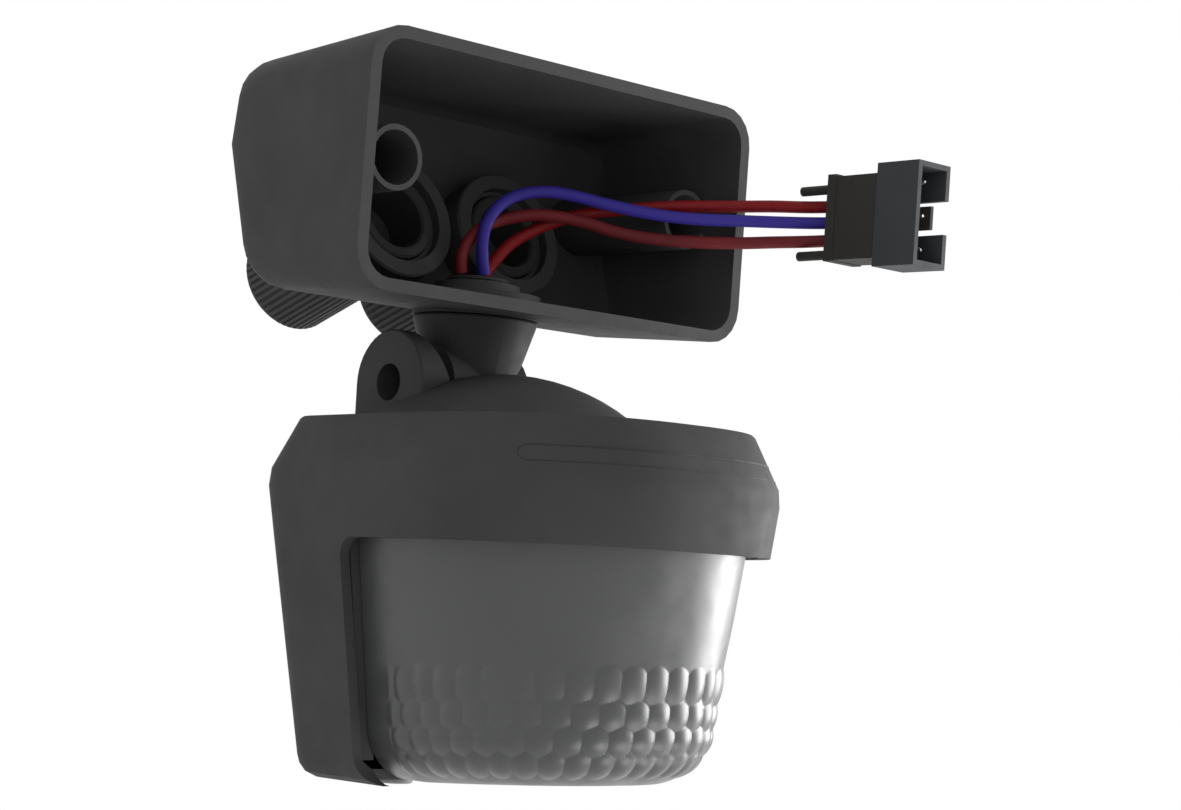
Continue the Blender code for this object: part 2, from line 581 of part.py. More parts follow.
def make_lens_frame(tilt_axis):
    """The frame behind the brow that holds the lens: a bar round the front and a leg at each end."""
    rear = -9.0 * MM
    bar = ((2.8 * MM, -34.2 * MM), (4.6 * MM, -34.2 * MM), (4.6 * MM, -31.6 * MM), (2.8 * MM, -31.6 * MM))
    frame = add_object("lens_frame", swept_front(bar, rear), "housing_plastic", tilt_axis)
    for side in (-1, 1):
        rings = []
        for z in (-80.2 * MM, -58.0 * MM, -31.6 * MM):
            near = HEAD_HALF_WIDTH - head_offset(z) - 6.3 * MM
            far = HEAD_HALF_WIDTH - head_offset(z) - 2.8 * MM
            corners = ((near, WINDOW_EDGE), (far, WINDOW_EDGE), (far, rear), (near, rear))
            rings.append([Vector((side * x, y, z)) for x, y in corners])
        boolean(frame, "UNION", add_helper(f"frame_leg_{side}", loft(rings), tilt_axis))


def make_bottom_cover(tilt_axis):
    """The plate that closes the head from below, inside the shell's lip and the lens's flange."""
    taper = head_offset(LENS_BOTTOM)
    front = head_front(taper + LENS_INSET + LENS_CURVE + 1.6 * MM)
    rear = [point for point in head_outline(taper + 5.0 * MM) if point[1] > 0.0]
    front_x = front[-1][0]
    rear_x = rear[0][0]
    step_y = WINDOW_EDGE + 0.4 * MM
    outline = front + [(front_x, step_y), (rear_x, step_y)] + rear + [(-rear_x, step_y), (-front_x, step_y)]
    plate = bmesh.new()
    rows = []
    for z in (LENS_BOTTOM, LENS_BOTTOM + 2.2 * MM):
        rows.append([plate.verts.new((x, y, z + lens_lift(y))) for x, y in outline])
    for index in range(len(outline)):
        after = (index + 1) % len(outline)
        plate.faces.new((rows[0][index], rows[0][after], rows[1][after], rows[1][index]))
    for row in rows:
        plate.faces.new(row[: len(front)])
        plate.faces.new(row[len(front) - 1 :] + row[:1])
    cover = add_object("bottom_cover", plate, "housing_plastic", tilt_axis)
    holes = bmesh.new()
    for x in DIAL_X:
        rod(4.6 * MM, -90.0 * MM, -80.0 * MM, 24, holes, Matrix.Translation((x, DIAL_Y, 0.0)))
    for side, x, y in (("left", -25.0 * MM, 1.0 * MM), ("right", 25.0 * MM, 1.0 * MM), ("front", 0.0, -38.0 * MM)):
        base = LENS_BOTTOM + lens_lift(y)
        place = Matrix.Translation((x, y, base))
        hole = ((3.3 * MM, -5.0 * MM), (3.3 * MM, 1.3 * MM), (1.8 * MM, 1.3 * MM), (1.8 * MM, 5.0 * MM))
        turned(hole, 16, True, holes, place)
        profile = (
            (2.4 * MM, 0.1 * MM), (2.9 * MM, 0.4 * MM), (2.9 * MM, 1.0 * MM), (1.4 * MM, 1.0 * MM),
            (1.4 * MM, 7.0 * MM),
        )
        add_object(f"cover_screw_{side}", turned(profile, 16, True, place=place), "bright_steel", tilt_axis)
    boolean(cover, "DIFFERENCE", add_helper("cover_holes", holes, tilt_axis))


def make_dials(tilt_axis):
    """Three setting dials in the bottom cover, each turning on a trimmer on the main board."""
    for name, x in zip(("time_dial", "light_dial", "range_dial"), DIAL_X):
        axis = add_empty(f"{name}_axis", (x, DIAL_Y, HEAD_BOTTOM), tilt_axis)
        profile = (
            (3.9 * MM, -1.0 * MM), (4.2 * MM, -0.7 * MM), (4.2 * MM, 3.6 * MM), (1.4 * MM, 3.6 * MM),
            (1.4 * MM, 7.8 * MM),
        )
        dial = add_object(name, turned(profile, 24, solid=True), "dial_plastic", axis)
        slot = block((-0.5 * MM, -3.0 * MM, -2.0 * MM), (0.5 * MM, 3.0 * MM, 0.0))
        boolean(dial, "DIFFERENCE", add_helper(f"{name}_slot", slot, axis))


def make_electronics(tilt_axis):
    half = 4.5 * MM
    for name, x in zip(("time_trimmer", "light_trimmer", "range_trimmer"), DIAL_X):
        trimmer = block((x - half, DIAL_Y - half, -76.5 * MM), (x + half, DIAL_Y + half, BOARD_LOW - GAP))
        add_object(name, trimmer, "component_plastic", tilt_axis)
    top = BOARD_LOW + BOARD_THICKNESS
    board = block((-26.0 * MM, -42.0 * MM, BOARD_LOW), (26.0 * MM, 5.0 * MM, top))
    add_object("main_board", board, "board_laminate", tilt_axis)
    above = top + GAP
    relay = block((-25.0 * MM, -11.0 * MM, above), (-5.0 * MM, 1.0 * MM, above + 15.5 * MM))
    add_object("relay", relay, "relay_plastic", tilt_axis)
    can = ((5.0 * MM, above), (5.0 * MM, above + 15.0 * MM), (4.4 * MM, above + 16.0 * MM))
    place = Matrix.Translation((3.5 * MM, -5.0 * MM, 0.0))
    add_object("capacitor", turned(can, 20, solid=True, place=place), "component_plastic", tilt_axis)
    terminals = block((11.0 * MM, -9.0 * MM, above), (26.0 * MM, 0.0, above + 10.0 * MM))
    add_object("terminal_block", terminals, "terminal_plastic", tilt_axis)

    outline = (
        (-14.0 * MM, -20.0 * MM), (-14.0 * MM, -28.0 * MM), (-6.5 * MM, -37.0 * MM), (6.5 * MM, -37.0 * MM),
        (14.0 * MM, -28.0 * MM), (14.0 * MM, -20.0 * MM),
    )
    tower_top = above + 24.0 * MM
    add_object("sensor_tower", extruded(outline, above, tower_top), "housing_plastic", tilt_axis)
    level = tower_top - 7.0 * MM
    for side, (x0, y0), (x1, y1) in zip(("left", "front", "right"), outline[1:4], outline[2:5]):
        outward = Vector((y1 - y0, x0 - x1, 0.0)).normalized()
        middle = Vector(((x0 + x1) / 2, (y0 + y1) / 2, level))
        facing = outward.to_track_quat("Z", "Y").to_matrix().to_4x4()
        place = Matrix.Translation(middle) @ facing
        steps = ((4.6 * MM, GAP), (4.6 * MM, 0.8 * MM), (4.1 * MM, 0.8 * MM), (4.1 * MM, 3.8 * MM))
        can = turned(steps, 20, True, place=place)
        add_object(f"infrared_sensor_{side}", can, "bright_steel", tilt_axis)


# Plug and wires ----------------------------------------------------------------------------------------------


def make_plug():
    half_x = SHROUD_SIZE[0] / 2
    half_z = SHROUD_SIZE[1] / 2
    shroud_block = block((PLUG_X - half_x, PLUG_MOUTH, PLUG_Z - half_z), (PLUG_X + half_x, SHROUD_REAR, PLUG_Z + half_z))
    shroud = add_object("plug_shroud", shroud_block, "plug_plastic")
    floor = SHROUD_REAR - 1.3 * MM
    wall = SHROUD_WALL
    cavity = block(
        (PLUG_X - half_x + wall, PLUG_MOUTH - 1 * MM, PLUG_Z - half_z + wall),
        (PLUG_X + half_x - wall, floor, PLUG_Z + half_z - wall),
    )
    boolean(shroud, "DIFFERENCE", add_helper("plug_cavity", cavity))
    notch = block(
        (PLUG_X + half_x - 2 * wall, PLUG_MOUTH - 1 * MM, PLUG_Z - 3.7 * MM),
        (PLUG_X + half_x + wall, floor, PLUG_Z + 3.7 * MM),
    )
    boolean(shroud, "DIFFERENCE", add_helper("plug_notch", notch))

    front = SHROUD_REAR + GAP
    body = block((PLUG_X - 4.8 * MM, front, PLUG_Z - 9.5 * MM), (PLUG_X + 4.8 * MM, -24.0 * MM, PLUG_Z + 9.4 * MM))
    insert = add_object("plug_insert", body, "plug_insert_plastic")
    flange = block(
        (PLUG_X - 5.1 * MM, -25.5 * MM, PLUG_Z - 9.7 * MM), (PLUG_X + 5.1 * MM, BLOCK_REAR, PLUG_Z + 9.9 * MM)
    )
    boolean(insert, "UNION", add_helper("plug_flange", flange))
    for index, z in enumerate((PLUG_Z - 8.0 * MM, PLUG_Z + 6.9 * MM)):
        peg = rod(1.1 * MM, -24.0 * MM, -13.6 * MM, 16, place=along_y(PLUG_X - 2.8 * MM, z))
        boolean(insert, "UNION", add_helper(f"plug_peg_{index}", peg))

    for name, step in (("upper", 1), ("middle", 0), ("lower", -1)):
        place = along_y(PLUG_X, PLUG_Z + step * CONTACT_PITCH)
        tip = ((0.3 * MM, -47.0 * MM), (0.55 * MM, -46.4 * MM), (0.55 * MM, floor - GAP))
        add_object(f"plug_contact_{name}", turned(tip, 12, True, place=place), "contact_metal")
    latch = block((PLUG_X + 3.0 * MM, -46.6 * MM, PLUG_Z - 2.6 * MM), (PLUG_X + 3.9 * MM, floor - GAP, PLUG_Z + 2.6 * MM))
    add_object("plug_latch", latch, "plug_insert_plastic")


def smooth_route(route):
    """Reads evenly spaced points from the smooth curve through a route's points."""
    points = [Vector(point) * MM for point in route]
    padded = [2 * points[0] - points[1]] + points + [2 * points[-1] - points[-2]]
    dense = []
    for p0, p1, p2, p3 in zip(padded, padded[1:], padded[2:], padded[3:]):
        for step in range(12):
            t = step / 12
            bend = (2 * p0 - 5 * p1 + 4 * p2 - p3) * t**2 + (3 * p1 - p0 - 3 * p2 + p3) * t**3
            dense.append((2 * p1 + (p2 - p0) * t + bend) / 2)
    dense.append(points[-1])
    lengths = [0.0]
    for first, second in zip(dense, dense[1:]):
        lengths.append(lengths[-1] + (second - first).length)
    even = []
    index = 0
    for step in range(WIRE_POINTS):
        distance = lengths[-1] * step / (WIRE_POINTS - 1)
        while index < len(dense) - 2 and lengths[index + 1] < distance:
            index += 1
        share = (distance - lengths[index]) / (lengths[index + 1] - lengths[index])
        even.append(dense[index].lerp(dense[index + 1], share))
    return even


def make_wires():
    colours = {"wire_blue": "blue_insulation", "wire_brown": "brown_insulation", "wire_red": "red_insulation"}
    for name, route in WIRE_ROUTES.items():
        curve = bpy.data.curves.new(name, "CURVE")
        curve.dimensions = "3D"
        curve.bevel_depth = WIRE_DIAMETER / 2
        curve.bevel_resolution = 2
        curve.use_fill_caps = True
        spline = curve.splines.new("POLY")
        points = smooth_route(route)
        spline.points.add(len(points) - 1)
        for target, point in zip(spline.points, points):
            target.co = (*point, 1.0)
        curve.materials.append(MADE_MATERIALS[colours[name]])
        obj = bpy.data.objects.new(name, curve)
        bpy.context.scene.collection.objects.link(obj)


clear_scene()
MADE_MATERIALS = {name: make_material(name) for name in MATERIALS}

gland_turn = Matrix.Rotation(-math.pi / 2 - GLAND_DROOP, 4, "X")
gland_places = {}
for side, x in (("left", -GLAND_X), ("right", GLAND_X)):
    gland_axis = add_empty(f"gland_axis_{side}", (x, GLAND_MOUTH.y, GLAND_MOUTH.z))
    gland_axis.rotation_euler = gland_turn.to_euler()
    gland_places[side] = Matrix.Translation((x, GLAND_MOUTH.y, GLAND_MOUTH.z)) @ gland_turn
    make_gland(side, gland_axis)
make_housing(gland_places)

neck_axis = add_empty("neck_axis", (0.0, NECK_Y, 0.0))
make_neck(neck_axis)

hinge_axis = add_empty("hinge_axis", (0.0, 0.0, HINGE_Z), neck_axis)
hinge_axis.rotation_euler = (-HEAD_REST_TILT, 0.0, 0.0)
make_head_shell(hinge_axis)
make_hinge_dome(hinge_axis)
make_lens(hinge_axis)
make_lens_frame(hinge_axis)
make_bottom_cover(hinge_axis)
make_dials(hinge_axis)
make_electronics(hinge_axis)

make_plug()
make_wires()
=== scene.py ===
"""The motion sensor's visual model: materials, the pieces with more detail than the CAD, camera and light."""

import json
import math

import bmesh
import bpy
from mathutils import Matrix, Vector


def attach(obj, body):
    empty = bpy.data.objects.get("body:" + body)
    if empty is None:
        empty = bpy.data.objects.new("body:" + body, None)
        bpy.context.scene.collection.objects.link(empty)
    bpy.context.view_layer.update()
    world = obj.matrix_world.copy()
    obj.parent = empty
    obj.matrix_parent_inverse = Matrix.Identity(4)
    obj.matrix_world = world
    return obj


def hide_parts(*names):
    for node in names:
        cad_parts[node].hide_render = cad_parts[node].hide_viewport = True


MM = 0.001
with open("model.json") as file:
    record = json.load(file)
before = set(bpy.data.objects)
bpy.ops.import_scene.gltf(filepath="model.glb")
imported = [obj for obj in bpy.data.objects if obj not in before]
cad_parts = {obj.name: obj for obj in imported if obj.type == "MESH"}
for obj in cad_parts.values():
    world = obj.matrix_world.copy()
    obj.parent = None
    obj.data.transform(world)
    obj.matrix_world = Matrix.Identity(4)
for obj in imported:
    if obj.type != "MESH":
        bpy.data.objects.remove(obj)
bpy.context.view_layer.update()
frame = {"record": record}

# Sizes repeated from the CAD, in metres
NECK_Y = 28.0 * MM
HINGE_Z = -17.35 * MM
HEAD_PLACE = Matrix.Translation((0.0, NECK_Y, HINGE_Z)) @ Matrix.Rotation(math.radians(-1.7), 4, "X")
HEAD_HALF_WIDTH = 45.0 * MM
HEAD_FRONT_DEPTH = 57.3 * MM
HEAD_FRONT_CENTRE = -20.0 * MM
HEAD_BLUNTNESS = 2.5
HEAD_CREASE = -23.0 * MM
HEAD_DRAFT = math.tan(math.radians(7.5))
LENS_INSET = 4.9 * MM
LENS_WALL = 1.3 * MM
LENS_TOP = -32.2 * MM
LENS_BOTTOM = -84.3 * MM
LENS_CURVE = 10.5 * MM
LENS_LIFT = 0.06
LENS_REAR = -13.3 * MM
GLAND_DROOP = math.radians(19.0)
GLAND_MOUTHS = {"left": (-16.2 * MM, 37.5 * MM, 21.05 * MM), "right": (16.2 * MM, 37.5 * MM, 21.05 * MM)}
WIRE_DIAMETER = 2.8 * MM
WIRE_STEPS = 6

# Routes in millimetres, from the neck's grommet to the plug
WIRE_ROUTES = {
    "wire_blue": (
        (-0.6, 25.3, 9.0), (-1.4, 25.1, 11.5), (-2.1, 24.9, 15.5), (-1.7, 24.7, 19.5), (0.2, 24.5, 23.2),
        (3.4, 23.9, 26.2), (7.3, 22.4, 28.2), (12.0, 19.9, 29.1), (17.0, 17.1, 28.8), (22.6, 13.3, 27.7),
        (28.5, 9.1, 26.7), (34.2, 5.0, 26.1), (40.5, 0.4, 26.0), (47.4, -4.6, 26.4), (54.0, -9.6, 26.8),
        (59.3, -14.6, 27.1), (61.9, -19.2, 27.2), (62.4, -22.7, 27.2),
    ),
    "wire_brown": (
        (-4.5, 28.5, 9.0), (-5.0, 28.3, 11.3), (-4.6, 28.2, 14.0), (-3.2, 27.9, 16.8), (-0.4, 27.3, 19.6),
        (3.7, 26.0, 21.8), (9.0, 22.7, 23.5), (13.6, 19.5, 23.8), (19.2, 15.8, 23.1), (25.0, 11.8, 21.6),
        (31.0, 7.7, 20.8), (38.5, 2.3, 20.7), (47.5, -4.4, 21.3), (54.5, -9.9, 22.2), (59.5, -14.8, 22.8),
        (61.9, -19.3, 23.1), (62.4, -22.7, 23.1),
    ),
    "wire_red": (
        (2.6, 29.3, 9.2), (4.2, 28.9, 11.8), (8.2, 27.5, 17.0), (13.2, 24.6, 21.1), (17.3, 21.7, 23.5),
        (21.6, 18.7, 25.3), (27.0, 14.9, 26.8), (32.6, 10.7, 27.9), (38.3, 6.0, 28.9), (43.6, 1.8, 29.5),
        (49.0, -2.8, 30.0), (55.0, -8.6, 30.6), (59.8, -14.4, 30.8), (61.9, -19.1, 30.9), (62.4, -22.7, 30.9),
    ),
}


# Materials -----------------------------------------------------------------------------------------


class Shader:
    """Builds one node material around a Principled shader."""

    def __init__(self, name, roughness, specular=0.5, metallic=0.0):
        self.material = bpy.data.materials.new(name)
        self.material.use_nodes = True
        self.nodes = self.material.node_tree.nodes
        self.links = self.material.node_tree.links
        self.main = self.nodes["Principled BSDF"]
        self.main.inputs["Roughness"].default_value = roughness
        self.main.inputs["Specular IOR Level"].default_value = specular
        self.main.inputs["Metallic"].default_value = metallic
        self.place = self.nodes.new("ShaderNodeTexCoord").outputs["Object"]

    def noise(self, scale, detail=4.0, stretch=None):
        texture = self.nodes.new("ShaderNodeTexNoise")
        texture.inputs["Scale"].default_value = scale
        texture.inputs["Detail"].default_value = detail
        vector = self.place
        if stretch:
            mapping = self.nodes.new("ShaderNodeMapping")
            mapping.inputs["Scale"].default_value = stretch
            self.links.new(self.place, mapping.inputs["Vector"])
            vector = mapping.outputs["Vector"]
        self.links.new(vector, texture.inputs["Vector"])
        return texture.outputs["Fac"]

    def remap(self, value, low, high, start=0.35, end=0.65):
        node = self.nodes.new("ShaderNodeMapRange")
        for name, number in (("From Min", start), ("From Max", end), ("To Min", low), ("To Max", high)):
            node.inputs[name].default_value = number
        self.links.new(value, node.inputs["Value"])
        return node.outputs["Result"]

    def colours(self, value, first, second):
        ramp = self.nodes.new("ShaderNodeValToRGB")
        ramp.color_ramp.elements[0].position = 0.35
        ramp.color_ramp.elements[1].position = 0.65
        ramp.color_ramp.elements[0].color = (*first, 1.0)
        ramp.color_ramp.elements[1].color = (*second, 1.0)
        self.links.new(value, ramp.inputs["Fac"])
        self.links.new(ramp.outputs["Color"], self.main.inputs["Base Color"])

    def rough(self, value, low, high):
        self.links.new(self.remap(value, low, high), self.main.inputs["Roughness"])

    def bump(self, value, strength, distance, normal=None):
        node = self.nodes.new("ShaderNodeBump")
        node.inputs["Strength"].default_value = strength
        node.inputs["Distance"].default_value = distance
        self.links.new(value, node.inputs["Height"])
        if normal:
            self.links.new(normal, node.inputs["Normal"])
        self.links.new(node.outputs["Normal"], self.main.inputs["Normal"])
        return node.outputs["Normal"]


def scaled(colour, factor):
    return tuple(min(1.0, channel * factor) for channel in colour)


def plastic(name, colour, roughness, grain=0.25, specular=0.5, variation=0.08):
    """Moulded plastic: a fine spark-eroded grain, faint patches of gloss and a little uneven colour."""
    shader = Shader(name, roughness, specular)
    patches = shader.noise(38.0, 5.0)
    shader.colours(patches, scaled(colour, 1.0 - variation), scaled(colour, 1.0 + variation))
    shader.rough(shader.noise(160.0, 4.0), roughness - 0.05, roughness + 0.06)
    fine = shader.bump(shader.noise(5200.0, 2.0), grain, 0.00003)
    shader.bump(shader.noise(300.0, 3.0), grain * 0.2, 0.00004, fine)
    return shader.material


def metal(name, colour, roughness):
    shader = Shader(name, roughness, metallic=1.0)
    scratches = shader.noise(900.0, 4.0, (1.0, 12.0, 1.0))
    shader.colours(shader.noise(60.0), scaled(colour, 0.85), scaled(colour, 1.1))
    shader.rough(scratches, roughness - 0.08, roughness + 0.1)
    shader.bump(scratches, 0.15, 0.00002)
    return shader.material


FINISHES = {
    "housing_plastic": plastic("housing_plastic", (0.040, 0.040, 0.040), 0.68, specular=0.12),
    "lens_plastic": plastic("lens_plastic", (0.044, 0.045, 0.045), 0.36, 0.05, 0.55, 0.03),
    "rubber": plastic("rubber", (0.020, 0.020, 0.020), 0.72, 0.5, 0.3),
    "bright_steel": metal("bright_steel", (0.55, 0.55, 0.54), 0.32),
    "dark_steel": metal("dark_steel", (0.05, 0.05, 0.05), 0.5),
    "contact_metal": metal("contact_metal", (0.50, 0.48, 0.44), 0.3),
    "plug_plastic": plastic("plug_plastic", (0.040, 0.043, 0.047), 0.6, specular=0.15),
    "plug_insert_plastic": plastic("plug_insert_plastic", (0.032, 0.031, 0.029), 0.65, specular=0.15),
    "red_insulation": plastic("red_insulation", (0.16, 0.004, 0.006), 0.5, 0.1, 0.15),
    "blue_insulation": plastic("blue_insulation", (0.030, 0.020, 0.21), 0.5, 0.1, 0.15),
    "brown_insulation": plastic("brown_insulation", (0.105, 0.009, 0.012), 0.55, 0.25, 0.15, variation=0.3),
    "board_laminate": plastic("board_laminate", (0.02, 0.12, 0.05), 0.5),
    "relay_plastic": plastic("relay_plastic", (0.02, 0.05, 0.14), 0.4),
    "component_plastic": plastic("component_plastic", (0.03, 0.03, 0.03), 0.45),
    "terminal_plastic": plastic("terminal_plastic", (0.35, 0.35, 0.33), 0.5),
    "dial_plastic": plastic("dial_plastic", (0.16, 0.16, 0.16), 0.5),
}
SLOT_OF = {row["node"]: row["material_slot"] for row in frame["record"]["subparts"]}


def smoothing_group(angle):
    """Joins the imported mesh's separate faces, then shades it smooth but for edges sharper than the angle."""
    group = bpy.data.node_groups.new("smooth_shading", "GeometryNodeTree")
    group.interface.new_socket("Geometry", in_out="INPUT", socket_type="NodeSocketGeometry")
    group.interface.new_socket("Geometry", in_out="OUTPUT", socket_type="NodeSocketGeometry")
    start = group.nodes.new("NodeGroupInput")
    end = group.nodes.new("NodeGroupOutput")
    merge = group.nodes.new("GeometryNodeMergeByDistance")
    merge.inputs["Distance"].default_value = 0.000002
    faces = group.nodes.new("GeometryNodeSetShadeSmooth")
    faces.domain = "FACE"
    edges = group.nodes.new("GeometryNodeSetShadeSmooth")
    edges.domain = "EDGE"
    edges.inputs["Shade Smooth"].default_value = False
    turn = group.nodes.new("GeometryNodeInputMeshEdgeAngle")
    sharper = group.nodes.new("FunctionNodeCompare")
    sharper.data_type = "FLOAT"
    sharper.operation = "GREATER_THAN"
    sharper.inputs["B"].default_value = math.radians(angle)
    group.links.new(start.outputs[0], merge.inputs["Geometry"])
    group.links.new(merge.outputs["Geometry"], faces.inputs["Geometry"])
    group.links.new(faces.outputs["Geometry"], edges.inputs["Geometry"])
    group.links.new(turn.outputs["Unsigned Angle"], sharper.inputs["A"])
    group.links.new(sharper.outputs["Result"], edges.inputs["Selection"])
    group.links.new(edges.outputs["Geometry"], end.inputs[0])
    return group


SMOOTHING = smoothing_group(24.0)
for node, slot in SLOT_OF.items():
    shown = bpy.data.objects[node]
    shown.data.materials.clear()
    shown.data.materials.append(FINISHES[slot])
    if "custom_normal" in shown.data.attributes:
        shown.data.attributes.remove(shown.data.attributes["custom_normal"])
    shown.modifiers.new("smooth_shading", "NODES").node_group = SMOOTHING


# Building pieces -----------------------------------------------------------------------------------


def add_piece(name, mesh_data, slot, body, place=Matrix(), sharp=35.0):
    mesh_data.transform(place)
    bmesh.ops.recalc_face_normals(mesh_data, faces=mesh_data.faces)
    mesh = bpy.data.meshes.new(name)
    mesh_data.to_mesh(mesh)
    mesh_data.free()
    mesh.shade_smooth()
    mesh.set_sharp_from_angle(angle=math.radians(sharp))
    mesh.materials.append(FINISHES[slot])
    piece = bpy.data.objects.new(name, mesh)
    bpy.context.scene.collection.objects.link(piece)
    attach(piece, body)
    return piece


def loft(rings, closed_loop=False, into=None):
    mesh_data = into or bmesh.new()
    rows = [[mesh_data.verts.new(point) for point in ring] for ring in rings]
    pairs = list(zip(rows, rows[1:]))
    if closed_loop:
        pairs.append((rows[-1], rows[0]))
    for first, second in pairs:
        for index in range(len(first)):
            after = (index + 1) % len(first)
            mesh_data.faces.new((first[index], first[after], second[after], second[index]))
    if not closed_loop:
        mesh_data.faces.new(rows[0])
        mesh_data.faces.new(rows[-1])
    return mesh_data


# Wires ---------------------------------------------------------------------------------------------


def catmull_rom(points, steps):
    padded = [2 * points[0] - points[1]] + points + [2 * points[-1] - points[-2]]
    dense = []
    for p0, p1, p2, p3 in zip(padded, padded[1:], padded[2:], padded[3:]):
        for step in range(steps):
            t = step / steps
            bend = (2 * p0 - 5 * p1 + 4 * p2 - p3) * t**2 + (3 * p1 - p0 - 3 * p2 + p3) * t**3
            dense.append((2 * p1 + (p2 - p0) * t + bend) / 2)
    dense.append(points[-1])
    return dense


def add_wire(name):
    route = catmull_rom([Vector(point) * MM for point in WIRE_ROUTES[name]], WIRE_STEPS)
    curve = bpy.data.curves.new(f"{name}_lead", "CURVE")
    curve.dimensions = "3D"
    curve.bevel_depth = WIRE_DIAMETER / 2
    curve.bevel_resolution = 5
    curve.use_fill_caps = True
    spline = curve.splines.new("POLY")
    spline.points.add(len(route) - 1)
    for target, point in zip(spline.points, route):
        target.co = (*point, 1.0)
    spline.use_smooth = True
    slot = SLOT_OF[name]
    curve.materials.append(FINISHES[slot])
    piece = bpy.data.objects.new(f"{name}_lead", curve)
    bpy.context.scene.collection.objects.link(piece)
    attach(piece, "housing")
    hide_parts(name)


for wire in WIRE_ROUTES:
    add_wire(wire)


# Lens ----------------------------------------------------------------------------------------------

# Facet rows by height (middle, half height, start of the first facet as a share of one facet)
FACET_WIDTH = 5.9 * MM
FACET_ROWS = (
    (-64.0 * MM, 3.5 * MM, 0.0),
    (-70.2 * MM, 2.6 * MM, 0.28),
    (-75.4 * MM, 2.7 * MM, 0.72),
    (-80.2 * MM, 2.3 * MM, 0.22),
)
FACET_RADIUS = 8.5 * MM
FACET_HEIGHT = 0.72 * MM
FACET_HALF_HEIGHT = 2.9 * MM
FACETS_BELOW = -59.0 * MM
FACET_FADE = 2.5 * MM

# How finely the lens is cut: above and below the height where the facets start, and along the outline
COARSE_STEP = 3.0 * MM
FINE_STEP = 0.28 * MM
FINE_BELOW = -57.0 * MM
CURVE_STEPS = 41
OUTLINE_STEPS = 2000
LENS_COLUMNS = 620
OFFSET_STEP = 0.5 * MM

# The lens rises towards the front over this range of heights
LIFT_START = -48.0 * MM
LIFT_RANGE = 14.0 * MM


def head_offset(z):
    return max(0.0, (HEAD_CREASE - z) * HEAD_DRAFT)


def head_front(offset, share):
    """A point on the head's front outline; share runs from 0 at its left side to 1 at its right."""
    angle = math.pi * share
    across = math.copysign(abs(math.cos(angle)) ** (2 / HEAD_BLUNTNESS), math.cos(angle))
    ahead = abs(math.sin(angle)) ** (2 / HEAD_BLUNTNESS)
    x = -(HEAD_HALF_WIDTH - offset) * across
    return x, HEAD_FRONT_CENTRE - (HEAD_FRONT_DEPTH - offset) * ahead


def even_shares(count, offset):
    """Shares that stand evenly spaced along the outline at this offset, and the outline's length."""
    dense = [head_front(offset, step / OUTLINE_STEPS) for step in range(OUTLINE_STEPS + 1)]
    lengths = [0.0]
    for first, second in zip(dense, dense[1:]):
        lengths.append(lengths[-1] + math.dist(first, second))
    shares = []
    index = 0
    for step in range(count + 1):
        wanted = lengths[-1] * step / count
        while index < OUTLINE_STEPS - 1 and lengths[index + 1] < wanted:
            index += 1
        gap = lengths[index + 1] - lengths[index]
        shares.append((index + (wanted - lengths[index]) / gap) / OUTLINE_STEPS)
    return shares, lengths[-1]


def lens_section():
    """The outer surface's section as (inset, z, outward, down) with a fine step where the facets are."""
    points = []
    z = LENS_TOP
    spring = LENS_BOTTOM + LENS_CURVE
    while z > spring + 0.01 * MM:
        points.append((LENS_INSET, z, 1.0, 0.0))
        z -= COARSE_STEP if z > FINE_BELOW else FINE_STEP
    for step in range(CURVE_STEPS + 1):
        angle = math.radians(90 * step / CURVE_STEPS)
        inset = LENS_INSET + LENS_CURVE * (1 - math.cos(angle))
        points.append((inset, spring - LENS_CURVE * math.sin(angle), math.cos(angle), math.sin(angle)))
    return points


def facet_height(along, z):
    """How far the nearest facet's dome stands out at this place: distance along the lens, and height."""
    best = 0.0
    for middle, half, start in FACET_ROWS:
        if abs(z - middle) > 2.4 * half:
            continue
        nearest = round(along / FACET_WIDTH - start)
        sideways = along - (nearest + start) * FACET_WIDTH
        upright = (z - middle) * FACET_HALF_HEIGHT / half
        best = max(best, FACET_HEIGHT - (sideways**2 + upright**2) / (2 * FACET_RADIUS))
    return best


def lens_point(share, section_point, outward_shift, rear=None):
    """A point of the lens, moved out along its normal; rear is the Y of the lens's two back edges."""
    inset, z, out, down = section_point
    x, y = head_front(head_offset(z) + inset, share)
    x2, y2 = head_front(head_offset(z) + inset + OFFSET_STEP, share)
    normal = Vector((x - x2, y - y2)).normalized() if rear is None else Vector((math.copysign(1, x), 0))
    raised = max(0.0, min(1.0, (LIFT_START - z) / LIFT_RANGE))
    lift = max(0.0, HEAD_FRONT_CENTRE - y) * LENS_LIFT * raised
    if rear is not None:
        y = rear
    sideways = out * outward_shift
    return Vector((x + normal.x * sideways, y + normal.y * sideways, z + lift - down * outward_shift))


